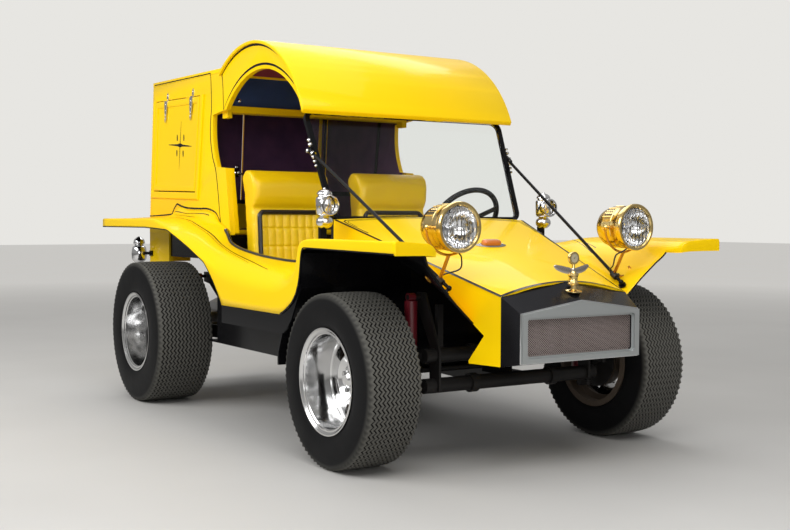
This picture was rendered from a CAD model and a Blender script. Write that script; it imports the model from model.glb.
"""Looks of the dune buggy with canopy and delivery box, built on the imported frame."""
from math import ceil, cos, hypot, pi, radians, sin, sqrt

import bmesh
import bpy
from mathutils import Matrix, Vector
from mathutils.bvhtree import BVHTree


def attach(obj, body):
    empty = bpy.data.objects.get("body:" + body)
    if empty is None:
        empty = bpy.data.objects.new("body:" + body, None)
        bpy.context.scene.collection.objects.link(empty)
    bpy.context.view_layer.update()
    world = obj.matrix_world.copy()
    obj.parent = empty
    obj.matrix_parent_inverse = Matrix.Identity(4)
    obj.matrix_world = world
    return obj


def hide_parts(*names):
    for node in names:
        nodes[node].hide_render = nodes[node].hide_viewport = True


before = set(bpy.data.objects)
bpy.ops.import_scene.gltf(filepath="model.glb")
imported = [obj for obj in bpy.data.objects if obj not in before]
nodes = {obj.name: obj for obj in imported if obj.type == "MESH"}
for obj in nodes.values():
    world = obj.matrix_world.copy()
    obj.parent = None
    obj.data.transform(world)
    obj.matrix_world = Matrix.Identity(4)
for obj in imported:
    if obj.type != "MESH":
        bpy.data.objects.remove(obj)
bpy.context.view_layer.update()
scene = bpy.context.scene
scene.view_settings.view_transform = "Standard"

# Room, light and camera
# A pale studio floor under soft ceiling panels, like the lamps of a showroom.
# The camera stands low off the front corner, where the photograph was taken.
FRONT_AXLE_Y = -1.0575
FLOOR_HALF = 40


def placed(name, data, place=(0, 0, 0), turn=(0, 0, 0)):
    """A new object in the scene at a place, turned by these angles in radians."""
    made = bpy.data.objects.new(name, data)
    made.location, made.rotation_euler = place, turn
    scene.collection.objects.link(made)
    return made


def at(station, height, x=0.0):
    """A point from millimetres behind the front axle, height and distance to the vehicle's left."""
    return Vector((x / 1000, FRONT_AXLE_Y + station / 1000, height / 1000))


def mesh_piece(name, verts, faces, *materials):
    mesh = bpy.data.meshes.new(name)
    mesh.from_pydata([tuple(v) for v in verts], [], faces)
    mesh.validate()
    for material in materials:
        mesh.materials.append(material)
    mesh.shade_smooth()
    return placed(name, mesh)


def new_material(name):
    material = bpy.data.materials.new(name)
    material.use_nodes = True
    return material, material.node_tree, material.node_tree.nodes["Principled BSDF"]


def plug(tree, part, *given, **inputs):
    """Sets inputs, in order or by name with _ for a space, to plain values or to other nodes' outputs."""
    for key, value in [*enumerate(given), *inputs.items()]:
        socket = part.inputs[key if isinstance(key, int) else key.replace("_", " ")]
        if isinstance(value, bpy.types.NodeSocket):
            tree.links.new(value, socket)
        else:
            socket.default_value = (*value, 1) if socket.type == "RGBA" else value


def node(tree, kind, *given, out=0, mode=None, **inputs):
    """One output of a new node with these inputs; mode is its operation or data type."""
    part = tree.nodes.new(kind if kind.startswith("Geometry") else f"ShaderNode{kind}")
    if mode:
        setattr(part, "data_type" if hasattr(part, "data_type") else "operation", mode)
    plug(tree, part, *given, **inputs)
    return part.outputs[out]


def maths(tree, operation, *values):
    return node(tree, "Math", *values, mode=operation)


def mixed(tree, share, first, second):
    return node(tree, "Mix", mode="RGBA", out="Result", Factor=share, A=first, B=second)


floor_paint, tree, shader = new_material("floor_paint")
place = node(tree, "TexCoord", out="Object")
cloud = node(tree, "TexNoise", Vector=place, Scale=1.3)
reach = node(tree, "VectorMath", place, mode="LENGTH", out="Value")
far = node(tree, "MapRange", Value=reach, From_Min=2.5, From_Max=13.0, To_Max=0.42)
glow = maths(tree, "MULTIPLY", far, node(tree, "LightPath", out="Is Camera Ray"))
plug(tree, shader, Base_Color=mixed(tree, cloud, (0.50, 0.49, 0.47), (0.56, 0.55, 0.53)), Roughness=0.55,
     Emission_Strength=glow, Emission_Color=(0.96, 0.94, 0.90))
floor = mesh_piece("floor", [(FLOOR_HALF * x, FLOOR_HALF * y, 0) for x, y in ((-1, -1), (1, -1), (1, 1), (-1, 1))],
                   [(0, 1, 2, 3)], floor_paint)

world = bpy.data.worlds.new("showroom")
scene.world = world
world.use_nodes = True
room = world.node_tree
height = node(room, "SeparateXYZ", node(room, "TexCoord", out="Generated"), out="Z")
sky = node(room, "ValToRGB", height)
for stop, position, grey in zip(sky.node.color_ramp.elements, (0.02, 0.6), (0.09, 0.26)):
    stop.position, stop.color = position, (grey, grey, grey, 1)
rays = node(room, "LightPath").node.outputs
seen = maths(room, "MAXIMUM", rays["Is Camera Ray"], rays["Is Transmission Ray"])
seen = maths(room, "MAXIMUM", seen, maths(room, "MULTIPLY", rays["Is Glossy Ray"], 0.3))
plug(room, room.nodes["Background"], Color=mixed(room, seen, sky, (0.80, 0.79, 0.76)))

for lamp_name, place, turn, size, power in (
    ("ceiling_front", (-1.9, -3.9, 4.4), (40, 0, -24), (5.0, 2.8), 160),
    ("window_front", (-2.6, -6.6, 1.7), (82, 0, -20), (4.0, 1.6), 70),
    ("ceiling_side", (-4.9, 0.2, 3.6), (58, 0, -92), (5.0, 2.6), 210),
    ("ceiling_back", (1.6, 3.0, 5.0), (-30, 0, -20), (4.5, 2.4), 85),
    ("ceiling_top", (0.2, 0.1, 5.0), (0, 0, 0), (2.6, 5.0), 60),
):
    light = bpy.data.lights.new(lamp_name, "AREA")
    light.shape = "RECTANGLE"
    light.size, light.size_y = size
    light.energy = power
    placed(lamp_name, light, place, [radians(angle) for angle in turn])

camera_data = bpy.data.cameras.new("camera")
camera_data.lens = 51.4
camera_data.clip_start = 0.05
scene.camera = placed("camera", camera_data, (-2.9164, FRONT_AXLE_Y - 3.8292, 0.9731),
                      (1.531805, -0.003049, -0.566042))

# Painted and bare metalwork
# Beam, arms, steering and frames are black-painted steel, the shocks maroon, and the castings bare alloy.
# The paint is sprayed over slightly rough metal, so its gloss changes softly from place to place.
spray = bpy.data.node_groups.new("spray_grain", "ShaderNodeTree")
for label, value in (("Scale", 900.0), ("Depth", 0.02), ("Low", 0.2), ("High", 0.3)):
    spray.interface.new_socket(label, in_out="INPUT", socket_type="NodeSocketFloat").default_value = value
for label, kind in (("Roughness", "Float"), ("Normal", "Vector"), ("Cloud", "Float")):
    spray.interface.new_socket(label, in_out="OUTPUT", socket_type=f"NodeSocket{kind}")
wanted, sprayed = spray.nodes.new("NodeGroupInput").outputs, spray.nodes.new("NodeGroupOutput")
place = node(spray, "TexCoord", out="Object")
fine = node(spray, "TexNoise", Vector=place, Scale=wanted["Scale"], Detail=3)
cloud = node(spray, "TexNoise", Vector=place, Scale=9, Detail=5)
plug(spray, sprayed, Cloud=cloud,
     Roughness=node(spray, "MapRange", Value=cloud, To_Min=wanted["Low"], To_Max=wanted["High"]),
     Normal=node(spray, "Bump", Height=fine, Strength=wanted["Depth"], Distance=0.001))


def grained(tree, **values):
    """The outputs of the spray grain, placed in a material with its own values."""
    grain = tree.nodes.new("ShaderNodeGroup")
    grain.node_tree = spray
    plug(tree, grain, **values)
    return grain.outputs


def finish_of(name, colour, low, high, worn=None, metallic=0.0, coat=0.0, scale=900.0, depth=0.03, specular=0.5):
    """A paint, plating or plastic whose gloss lies between low and high, mixed with a worn colour in clouds."""
    material, tree, shader = new_material(name)
    grain = grained(tree, Scale=scale, Depth=depth, Low=low, High=high)
    plug(tree, shader, Base_Color=mixed(tree, grain["Cloud"], colour, worn or [c * 0.8 for c in colour]),
         Roughness=grain["Roughness"], Normal=grain["Normal"], Metallic=metallic, Coat_Weight=coat,
         Coat_Roughness=0.04, Specular_IOR_Level=specular)
    return material


def dress(material, *names):
    for name in names:
        nodes[name].data.materials.clear()
        nodes[name].data.materials.append(material)


black_steel = finish_of("black_steel_paint", (0.009, 0.009, 0.010), 0.25, 0.45, (0.022, 0.02, 0.018), depth=0.06,
                        specular=0.12)
black_gloss = finish_of("black_gloss_panel", (0.0045, 0.0045, 0.0055), 0.12, 0.26, coat=0.06, depth=0.02, specular=0.12)
maroon_paint = finish_of("maroon_shock_paint", (0.17, 0.008, 0.016), 0.22, 0.4, (0.10, 0.006, 0.012), coat=0.3)
cast_alloy = finish_of("cast_alloy", (0.42, 0.42, 0.43), 0.35, 0.6, (0.22, 0.21, 0.2), 0.85, scale=400, depth=0.25)
muffler_steel = finish_of("muffler_steel", (0.34, 0.33, 0.32), 0.3, 0.55, (0.2, 0.15, 0.11), 0.8, depth=0.1)
satin_black = finish_of("satin_black_plastic", (0.014, 0.014, 0.015), 0.35, 0.5, scale=1400, depth=0.12, specular=0.12)
dress(black_steel, "front_beam", "front_arms", "knuckle_left", "knuckle_right", "pitman_arm", "tie_rod_left",
      "tie_rod_right", "steering_column", "rear_axle")
dress(black_gloss, "inner_panels", "floor_pan", "windshield_frame", "stay_rods")
dress(maroon_paint, "front_shocks", "rear_shocks")
dress(satin_black, "steering_wheel", "controls", "dash")
dress(cast_alloy, "engine")
dress(muffler_steel, "exhaust")

# Tyres
# Wide cross-ply tyres: rows of fine zigzag ribs across a flat tread, knurled shoulders and plain black sidewalls.
# Each casing is spun from its profile, and a node tree then sways the ribs from side to side round the tread.
SIDES = (("left", 1), ("right", -1))
WHEELS = [(f"{end}_{side_name}", side, *sizes) for end, sizes in (
    ("front", (0, 690, 347, 122.5, 12)), ("rear", (2030, 703, 375, 155, 14))) for side_name, side in SIDES]
ZIGZAGS = 80
RIB_SWAY = 6.4
GROOVE_DEPTH = 8.5
BEAD_RADIUS = 211.5
RIM_EDGE = 13.5
SHARP_TREAD = 42

rubber, tree, shader = new_material("tyre_rubber")
grain = grained(tree, Scale=500, Depth=0.3, Low=0.42, High=0.6)
dust = node(tree, "Attribute", out="Fac")
dust.node.attribute_name = "dust"
plug(tree, shader, Base_Color=mixed(tree, dust, (0.005, 0.005, 0.0055), (0.115, 0.112, 0.10)),
     Roughness=grain["Roughness"], Normal=grain["Normal"], Specular_IOR_Level=0.1)


def tree_named(name, **sizes):
    """An empty node tree with geometry in and out and one named input for each size."""
    tree = bpy.data.node_groups.new(name, "GeometryNodeTree")
    tree.interface.new_socket("Geometry", in_out="INPUT", socket_type="NodeSocketGeometry")
    for label, value in sizes.items():
        kind = "NodeSocketInt" if isinstance(value, int) else "NodeSocketFloat"
        tree.interface.new_socket(label, in_out="INPUT", socket_type=kind).default_value = value
    tree.interface.new_socket("Material", in_out="INPUT", socket_type="NodeSocketMaterial")
    tree.interface.new_socket("Geometry", in_out="OUTPUT", socket_type="NodeSocketGeometry")
    return tree, tree.nodes.new("NodeGroupInput").outputs, tree.nodes.new("NodeGroupOutput")


def made_real(piece):
    """The piece's mesh after its modifiers."""
    return bpy.data.meshes.new_from_object(piece.evaluated_get(bpy.context.evaluated_depsgraph_get()))


def grown(piece, tree, **values):
    """Puts a node tree with these inputs on a piece and keeps the result as its plain mesh."""
    modifier = piece.modifiers.new(tree.name, "NODES")
    modifier.node_group = tree
    for socket in tree.interface.items_tree:
        if socket.item_type == "SOCKET" and socket.in_out == "INPUT" and socket.name in values:
            modifier[socket.identifier] = values[socket.name]
    mesh = made_real(piece)
    mesh.name = piece.name
    piece.modifiers.remove(modifier)
    piece.data = mesh


sway, given, swayed = tree_named("tread_sway", Zigzags=78, Sway=0.0036, HubY=0.0, HubZ=0.35)
spot = node(sway, "SeparateXYZ", node(sway, "GeometryNodeInputPosition")).node.outputs
angle = maths(sway, "ARCTAN2", maths(sway, "SUBTRACT", spot["Z"], given["HubZ"]),
              maths(sway, "SUBTRACT", spot["Y"], given["HubY"]))
wave = maths(sway, "COSINE", maths(sway, "MULTIPLY", angle, given["Zigzags"]))
share = maths(sway, "MULTIPLY", wave, node(sway, "GeometryNodeInputNamedAttribute", mode="FLOAT", Name="tread"))
push = node(sway, "CombineXYZ", X=maths(sway, "MULTIPLY", share, given["Sway"]))
moved = node(sway, "GeometryNodeSetPosition", Geometry=given["Geometry"], Offset=push)
plug(sway, swayed, Geometry=node(sway, "GeometryNodeSetMaterial", Geometry=moved, Material=given["Material"]))


def curve_through(ends, bends, count):
    """Points along one cubic curve from its ends and its two bend handles."""
    (p0, p3), (p1, p2) = ends, bends
    run = []
    for step in range(count + 1):
        t = step / count
        shares = ((1 - t)**3, 3 * t * (1 - t)**2, 3 * t * t * (1 - t), t**3)
        run.append(tuple(sum(w * p[axis] for w, p in zip(shares, (p0, p1, p2, p3))) for axis in (0, 1)))
    return run


def tyre_profile(radius, half, ribs):
    """Rows of across, radius, tread share and dust share, from the inner bead over the tread to the outer bead."""
    wall = curve_through(((half - RIM_EDGE, BEAD_RADIUS), (half - 7, radius - 17)),
                         ((half + 3, BEAD_RADIUS + 14), (half + 2.5, radius - 60)), 12)
    side = [(x, r, 0, 0.0) for x, r in wall[:-1]]
    side[2:2] = [(side[1][0] + 1.2, side[1][1] + 1, 0, 0), (side[1][0] + 1.4, side[1][1] + 3, 0, 0)]
    side += [(half - 7, radius - 17, 0.0, 0.25), (half - 10.5, radius - 10, 0.5, 0.5)]
    edge = half - 13
    pitch = 2 * edge / ribs
    tread = []
    for rib in range(ribs):
        for offset, drop, dust in ((-0.5, GROOVE_DEPTH, 0), (-0.37, GROOVE_DEPTH, 0), (-0.3, 0.4, 0.75), (0, 0, 1),
                                   (0.3, 0.4, 0.75), (0.37, GROOVE_DEPTH, 0)):
            x = -edge + (rib + 0.5) * pitch + offset * pitch
            if rib or offset > -0.4:
                tread.append((x, radius - 6 * (abs(x) / half)**3 - drop, 1, dust))
    return [(-x, r, t, d) for x, r, t, d in side] + tread[1:-1] + side[::-1]


def sheet(rows, width, flip, round_again=False):
    """Quads between rows of points that follow each other in one list."""
    quads = []
    for row in range(rows if round_again else rows - 1):
        a, b = row * width, (row + 1) % rows * width
        quads += [(a + k, b + k, b + k + 1, a + k + 1) for k in range(width - 1)]
    return [quad[::-1] for quad in quads] if flip else quads


for corner, side, station, centre, radius, half, ribs in WHEELS:
    profile = tyre_profile(radius, half, ribs)
    hub = at(station, radius, side * centre)
    steps = 2 * ZIGZAGS
    verts = []
    for angle in (2 * pi * turn / steps for turn in range(steps)):
        verts += [hub + Vector((side * row[0], row[1] * cos(angle), row[1] * sin(angle))) / 1000 for row in profile]
    tyre = mesh_piece(f"tyre_tread_{corner}", verts, sheet(steps, len(profile), side < 0, True), rubber)
    knurl = [row[3] * (0.6 + 0.4 * (turn % 2)) if 0 < row[2] < 1 else row[3]
             for turn in range(steps) for row in profile]
    for label, shares in (("tread", [row[2] for row in profile] * steps), ("dust", knurl)):
        tyre.data.attributes.new(label, "FLOAT", "POINT")
        tyre.data.attributes[label].data.foreach_set("value", shares)
    grown(tyre, sway, Zigzags=ZIGZAGS, Sway=RIB_SWAY / 1000, HubY=hub.y, HubZ=hub.z, Material=rubber)
    tyre.data.set_sharp_from_angle(angle=radians(SHARP_TREAD))
    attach(tyre, f"{corner}_wheel")
    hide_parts(f"tyre_{corner}")

# Wheels
# Deep-dish cast wheels with five windows: polished outside, and dull brown brake dust inside the barrel.
wheel_alloy, tree, shader = new_material("polished_wheel_alloy")
place = node(tree, "TexCoord", out="Object")
outside = node(tree, "MapRange", maths(tree, "ABSOLUTE", node(tree, "SeparateXYZ", place)), From_Min=0.652,
               From_Max=0.662)
gloss = node(tree, "MapRange", outside, To_Min=0.55, To_Max=0.10)
plug(tree, shader, Base_Color=mixed(tree, outside, (0.10, 0.075, 0.055), (0.66, 0.66, 0.66)),
     Roughness=maths(tree, "MULTIPLY_ADD", node(tree, "TexNoise", Vector=place, Scale=24), 0.10, gloss),
     Metallic=node(tree, "MapRange", outside, To_Min=0.4))
dress(wheel_alloy, *[f"rim_{wheel[0]}" for wheel in WHEELS])

# Yellow gelcoat
# Fibreglass shell sprayed chrome yellow under a thick clear gloss, very slightly rippled as hand-laid panels are.
# Undersides and cut edges are black.
yellow_gelcoat, tree, shader = new_material("yellow_gelcoat")
place = node(tree, "TexCoord", out="Object")
ripple = node(tree, "Bump", Height=node(tree, "TexNoise", Vector=place, Scale=4.5, Detail=1), Strength=0.10,
              Distance=0.006)
peel = node(tree, "Bump", Height=node(tree, "TexNoise", Vector=place, Scale=260), Strength=0.02, Distance=0.0008,
            Normal=ripple)
tint = mixed(tree, node(tree, "TexNoise", Vector=place, Scale=1.8), (0.97, 0.62, 0.0015), (0.99, 0.66, 0.0022))
plug(tree, shader, Base_Color=tint, Normal=peel, Roughness=0.34, Specular_IOR_Level=0.08, Coat_Weight=0.18,
     Coat_Roughness=0.03)
dress(yellow_gelcoat, "nose_body", "rear_body")

# Side bodies
# One moulding a side: front fender shelf, dropped cockpit side and rear fender, with rolled shelf edges.
# Each cross section runs from the hood's crease or the cockpit's edge out to the shelf's edge and down the side.
SKIN = 0.008
HEM_Z = 582
SIDE_X = 570.3
CREASE = ((-480, 317), (437, 521))
CREASE_RUN = 0.222
BODY_ROWS = (  # station, inner (read behind 500 only), height there, then slope, shoulder, shelf and edge
    (-525, 0, 470, 425, 635, 594, 816, 632, 889, 815, 903),
    (-400, 0, 545, 440, 655, 598, 822, 636, 890, 812, 903),
    (-200, 0, 700, 470, 760, 600, 850, 652, 895, 809, 903),
    (0, 0, 805, 505, 840, 605, 880, 700, 900, 806, 903),
    (150, 0, 872, 535, 880, 620, 893, 710, 900, 804, 901),
    (225, 0, 862, 550, 858, 630, 868, 712, 880, 803, 882),
    (265, 0, 838, 560, 812, 640, 800, 722, 790, 802, 780),
    (437, 521, 806, 580, 792, 640, 788, 735, 758, 800, 705),
    (500, 534.986, 798, 588, 790, 643, 788, 738, 758, 800, 700),
    (597, 604, 786, 622, 790, 648, 789, 740, 762, 800, 700),
    (856, 612, 796, 624, 800, 650, 799, 740, 785, 800, 716),
    (1091, 612, 818, 626, 821, 655, 820, 740, 815, 800, 750),
    (1278, 612, 851, 626, 855, 660, 860, 740, 857, 800, 808),
    (1392, 596, 914, 615, 914, 662, 902, 740, 886, 800, 847),
    (1551.5, SIDE_X, 975, 606, 952, 660, 940, 740, 925, 802, 897),
    (1605, SIDE_X, 1009, 606, 968, 661, 951, 740, 937, 802, 912),
    (1711, SIDE_X, 1027, 606, 990, 662, 972, 740, 962, 803, 942),
    (1928, SIDE_X, 1031, 600, 1004, 650, 990, 720, 984, 804, 982),
    (2090, SIDE_X, 1050, 596, 1012, 640, 990, 720, 984, 805, 983),
    (2180, SIDE_X, 998, 600, 991, 640, 988, 720, 984, 805, 983),
    (2700, SIDE_X, 989, 600, 987, 640, 985, 720, 984, 805, 983),
)
BODY_ROUNDING = (  # station, radii at the slope, shoulder, shelf and edge
    (-525, 14, 26, 36, 11), (200, 14, 26, 36, 12), (265, 20, 30, 60, 30), (430, 20, 40, 90, 60),
    (1300, 14, 30, 90, 60), (1640, 20, 34, 60, 22), (1930, 24, 34, 40, 12), (2700, 20, 30, 40, 12),
)
LEADING_EDGE = ((300, -345), (414, -356), (492, -366), (534, -373), (582, -390), (614, -416), (618, -490),
                (640, -498), (812, -524), (860, -530))
WALL_FOOT = (  # station and lower edge of the outer side
    (-700, 851), (178, 862), (190, 858), (199, 846), (205, 822), (218, 745), (228, 712), (247, 677), (281, 640),
    (316, 618), (360, 595), (395, HEM_Z), (999, HEM_Z),
)
REAR_ARCH = ((999, HEM_Z), (1200, 767), (1639, 921))
REAR_FOOT = (REAR_ARCH[2], (2000, 933), (2760, 933))
ROCKER = ((224, 720), (226, 690), (300, 568), (340, 527), (370, 506), (396, 500), (1003, 500), (1003, 590),
          (395, 592), (360, 604), (316, 627), (281, 650), (247, 688))


def between(table, value):
    """Straight-line reading of a table of (value, result) rows."""
    for (v0, r0), (v1, r1) in zip(table, table[1:]):
        if value <= v1:
            return r0 + (r1 - r0) * max(0.0, (value - v0) / (v1 - v0))
    return table[-1][1]


def eased(table, column, x):
    """Smooth reading of a table's column at x, which never overshoots its points."""
    xs, ys = [row[0] for row in table], [row[column] for row in table]
    slopes = [(ys[i + 1] - ys[i]) / (xs[i + 1] - xs[i]) for i in range(len(xs) - 1)]

    def tangent(i):
        if i == 0 or i == len(xs) - 1:
            return slopes[min(i, len(slopes) - 1)]
        a, b = slopes[i - 1], slopes[i]
        if a * b <= 0:
            return 0.0
        h0, h1 = xs[i] - xs[i - 1], xs[i + 1] - xs[i]
        return (h0 + h1) * 3 / ((2 * h1 + h0) / a + (h1 + 2 * h0) / b)

    k = max(i for i in range(len(xs) - 1) if xs[i] <= x or i == 0)
    h = xs[k + 1] - xs[k]
    t = min(max((x - xs[k]) / h, 0.0), 1.0)
    return (ys[k] * (1 + 2 * t) * (1 - t)**2 + tangent(k) * h * t * (1 - t)**2
            + ys[k + 1] * t * t * (3 - 2 * t) + tangent(k + 1) * h * t * t * (t - 1))


def circle_through(points):
    (x1, y1), (x2, y2), (x3, y3) = points
    d = 2 * (x1 * (y2 - y3) + x2 * (y3 - y1) + x3 * (y1 - y2))
    ux = ((x1**2 + y1**2) * (y2 - y3) + (x2**2 + y2**2) * (y3 - y1) + (x3**2 + y3**2) * (y1 - y2)) / d
    uy = ((x1**2 + y1**2) * (x3 - x2) + (x2**2 + y2**2) * (x1 - x3) + (x3**2 + y3**2) * (x2 - x1)) / d
    return ux, uy, hypot(x1 - ux, y1 - uy)


ARCH_X, ARCH_Z, ARCH_R = circle_through(REAR_ARCH)


def wall_foot(station):
    if station <= REAR_ARCH[0][0]:
        return between(WALL_FOOT, station)
    if station <= REAR_ARCH[2][0]:
        reach = sqrt(ARCH_R**2 - (station - ARCH_X)**2)
        return ARCH_Z + (reach if ARCH_Z < 700 else -reach)
    return between(REAR_FOOT, station)


def body_section(station):
    """Corner points (across, height) of the outer surface at a station, from the inner edge to the wall's foot."""
    crease_end = CREASE[1][0]
    if station <= 500:
        inner = between(CREASE, min(station, crease_end)) + 0.3 + max(0, station - crease_end) * CREASE_RUN
    else:
        inner = eased(BODY_ROWS, 1, station)
    if station > 1404:
        inner = max(SIDE_X, min(inner, 596 - (station - 1404) * 2))
    read = [eased(BODY_ROWS, column, station) for column in range(2, 11)]
    shelf = list(zip(read[1::2], read[2::2]))
    shelf[0] = (max(shelf[0][0], inner + 8), shelf[0][1])
    edge_x, edge_z = shelf[-1]
    return [(inner, read[0]), *shelf, (edge_x, min(wall_foot(station), edge_z - 12))]


def rounded_run(corners, radii, bends=6, straights=2):
    """The open run of corners with each inner corner rounded, always with the same number of points."""
    points = []
    start = Vector(corners[0])
    for k in range(1, len(corners) - 1):
        before, corner, after = (Vector(corners[j]) for j in (k - 1, k, k + 1))
        reach = min(radii[k - 1], 0.46 * (corner - before).length, 0.46 * (after - corner).length)
        enter = corner + (before - corner).normalized() * reach
        leave = corner + (after - corner).normalized() * reach
        points += [start.lerp(enter, i / straights) for i in range(straights)]
        points += [enter * (1 - t)**2 + corner * 2 * t * (1 - t) + leave * t * t
                   for t in (i / bends for i in range(bends))]
        start = leave
    return points + [start.lerp(Vector(corners[-1]), i / (straights + 1)) for i in range(straights + 2)]


def body_grid():
    """Rows of (across, station, height) over the outer surface, front to back, behind the swept leading edge."""
    stations = [-525 + 25 * i for i in range(28)] + [184, 190, 195, 199, 202, 205, 208, 211, 215, 220, 228, 236, 244]
    stations += [252 + 8 * i for i in range(16)] + [384 + 18 * i for i in range(110)]
    stations = sorted(s for s in set(stations) if s < 2250) + list(range(2260, 2700, 44)) + [2700]
    curves = {}

    def curve(station):
        key = round(station, 2)
        if key not in curves:
            curves[key] = rounded_run(body_section(key), [eased(BODY_ROUNDING, k, key) for k in (1, 2, 3, 4)])
        return curves[key]

    rows = []
    for station in stations:
        row = []
        for k in range(len(curve(0))):
            here = station
            if station < -200:
                front = -525
                for _ in range(3):
                    front = between(LEADING_EDGE, curve(front)[k].x)
                here = front + (station + 525) / 325 * (-200 - front)
            point = curve(here)[k]
            row.append((point.x, here, point.y))
        rows.append(row)
    return rows


def stacked(rings, caps=True):
    """A solid through rings with the same number of points, closed at both ends unless caps is off."""
    n, last = len(rings[0]), len(rings) - 1
    faces = [(i * n + j, i * n + (j + 1) % n, (i + 1) * n + (j + 1) % n, (i + 1) * n + j)
             for i in range(last) for j in range(n)]
    if caps:
        faces += [tuple(range(n))[::-1], tuple(last * n + j for j in range(n))]
    return [v for ring in rings for v in ring], faces


def gathered(shapes):
    verts, faces = [], []
    for shape_verts, shape_faces in shapes:
        start = len(verts)
        verts += shape_verts
        faces += [tuple(start + v for v in face) for face in shape_faces]
    return verts, faces


def edited(mesh, edit):
    """Opens a mesh for an edit and writes it back."""
    shape = bmesh.new()
    shape.from_mesh(mesh)
    edit(shape)
    shape.to_mesh(mesh)
    shape.free()


def outward(shape):
    bmesh.ops.remove_doubles(shape, verts=shape.verts, dist=1e-5)
    bmesh.ops.dissolve_degenerate(shape, edges=shape.edges, dist=1e-6)
    bmesh.ops.recalc_face_normals(shape, faces=shape.faces)


def joined(name, slot_name, *parts, body="chassis", angle=38, stands_for=None):
    """One piece from (material, shapes) parts; doubles merged, normals outward, edges past the angle sharp."""
    verts, faces = gathered([shape for _, shapes in parts for shape in shapes])
    piece = mesh_piece(name, verts, faces, *[material for material, _ in parts])
    piece.data.polygons.foreach_set("material_index", [
        look for look, (_, shapes) in enumerate(parts) for _, shape_faces in shapes for _ in shape_faces])
    edited(piece.data, outward)
    piece.data.set_sharp_from_angle(angle=radians(angle))
    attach(piece, body)
    if stands_for:
        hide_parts(stands_for)


body_rows = body_grid()
fenders = {}
for side_name, side in SIDES:
    verts = [at(station, z, side * x) for row in body_rows for x, station, z in row]
    fender = mesh_piece(f"fender_shell_{side_name}", verts, sheet(len(body_rows), len(body_rows[0]), side > 0),
                        yellow_gelcoat, black_gloss)
    wall = fender.modifiers.new("skin", "SOLIDIFY")
    wall.thickness = SKIN
    wall.offset = -1
    wall.material_offset = wall.material_offset_rim = 1
    fender.data.set_sharp_from_angle(angle=radians(40))
    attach(fender, "chassis")
    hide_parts(f"side_body_{side_name}")
    fenders[side_name] = fender
    rocker = stacked([[at(station, z, side * x) for station, z in ROCKER] for x in (789, 796)])
    joined(f"rocker_panel_{side_name}", "black_panel", (black_gloss, [rocker]), angle=1)

# Front lips of the fenders
# The shelf's leading edge is turned down like its side; the lip dies out where the slope starts.
LIP_FOOT = ((560, 838), (618, 843), (640, 847), (680, 850), (860, 851))
LIP_SECTION = ((0.6, 0.0), (1.6, 0.12), (1.8, 0.5), (1.6, 1.0), (-4.0, 1.0), (-4.0, 0.0))
for side_name, side in SIDES:
    corner = max(k for k, row in enumerate(body_rows[0]) if row[2] > 890)
    rings = [[at(station - forward, z - (z - between(LIP_FOOT, x)) * down, side * x) for forward, down in LIP_SECTION]
             for x, station, z in body_rows[0][:corner + 1] if z > between(LIP_FOOT, x) + 3]
    joined(f"fender_lip_{side_name}", "yellow_gelcoat", (yellow_gelcoat, [stacked(rings)]), angle=40)

# Pinstripes and edge lines
# Fine black enamel lines brushed by hand along the creases and panels, and thicker ones on the shell's cut edges.
# Each ribbon is laid just above the surface that it was painted on.
black_enamel = finish_of("black_pinstripe_enamel", (0.006, 0.006, 0.007), 0.15, 0.3, coat=0.3, depth=0.01,
                         specular=0.06)
DOWN = (0, 0, -1)


def surface_of(piece):
    """Search tree of what a piece shows, modifiers included."""
    mesh = piece.evaluated_get(bpy.context.evaluated_depsgraph_get()).to_mesh()
    return BVHTree.FromPolygons([vertex.co.copy() for vertex in mesh.vertices],
                                [tuple(face.vertices) for face in mesh.polygons])


def laid_on(surface, run, look=DOWN, step=0.008):
    """Points every step along a run of points, dropped in the look direction onto a surface, with their normals."""
    look = Vector(look).normalized()
    points = []
    for start, end in zip(run, run[1:]):
        count = max(1, ceil((end - start).length / step))
        points += [start.lerp(end, i / count) for i in range(count)]
    hits = []
    for point in points + [run[-1]]:
        hit, normal, _, _ = surface.ray_cast(point - look * 0.25, look)
        if hit and (not hits or (hit - hits[-1][0]).length < 0.12):
            hits.append((hit, normal if normal.dot(look) < 0 else -normal))
    return hits


def ribbon(hits, width, lift=0.0005):
    """Vertices and faces of a stripe along points on a surface; width is one size or a size for each share."""
    verts = []
    last = len(hits) - 1
    for i, (point, normal) in enumerate(hits):
        across = normal.cross(hits[min(i + 1, last)][0] - hits[max(i - 1, 0)][0]).normalized()
        half = (width(i / max(1, last)) if callable(width) else width) / 2
        verts += [point + normal * lift + across * half, point + normal * lift - across * half]
    return verts, [(2 * i, 2 * i + 1, 2 * i + 3, 2 * i + 2) for i in range(last)]


def brushed(surface, height, run, side, width):
    """A stripe brushed on a surface below points of station and distance from the centre line."""
    return ribbon(laid_on(surface, [at(s, height, side * x) for s, x in run]), width)


def striped(name, stripes, body="chassis"):
    stripe = mesh_piece(name, *gathered(stripes), black_enamel)
    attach(stripe, body)


nose_skin = surface_of(nodes["nose_body"])
hood_side = [(s, between(CREASE, s) - 4.4) for s in range(-478, 430, 30)] + [(432, 515.5)]
body_lines = [brushed(nose_skin, 1000, hood_side, side, 0.014) for side in (1, -1)]
body_lines.append(brushed(nose_skin, 850, [(-476, x) for x in range(-313, 314, 12)], 1, 0.014))
for side in (1, -1):
    cowl = ((426, 60), (424, 300), (418, 470), (404, 487), (370, 486), (250, 458))
    body_lines.append(brushed(nose_skin, 1100, cowl, side, 0.006))
    cowl = ((414, 60), (412, 300), (406, 466), (392, 474), (330, 466))
    body_lines.append(brushed(nose_skin, 1100, cowl, side, 0.003))
striped("hood_pinstripes", body_lines)

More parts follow.
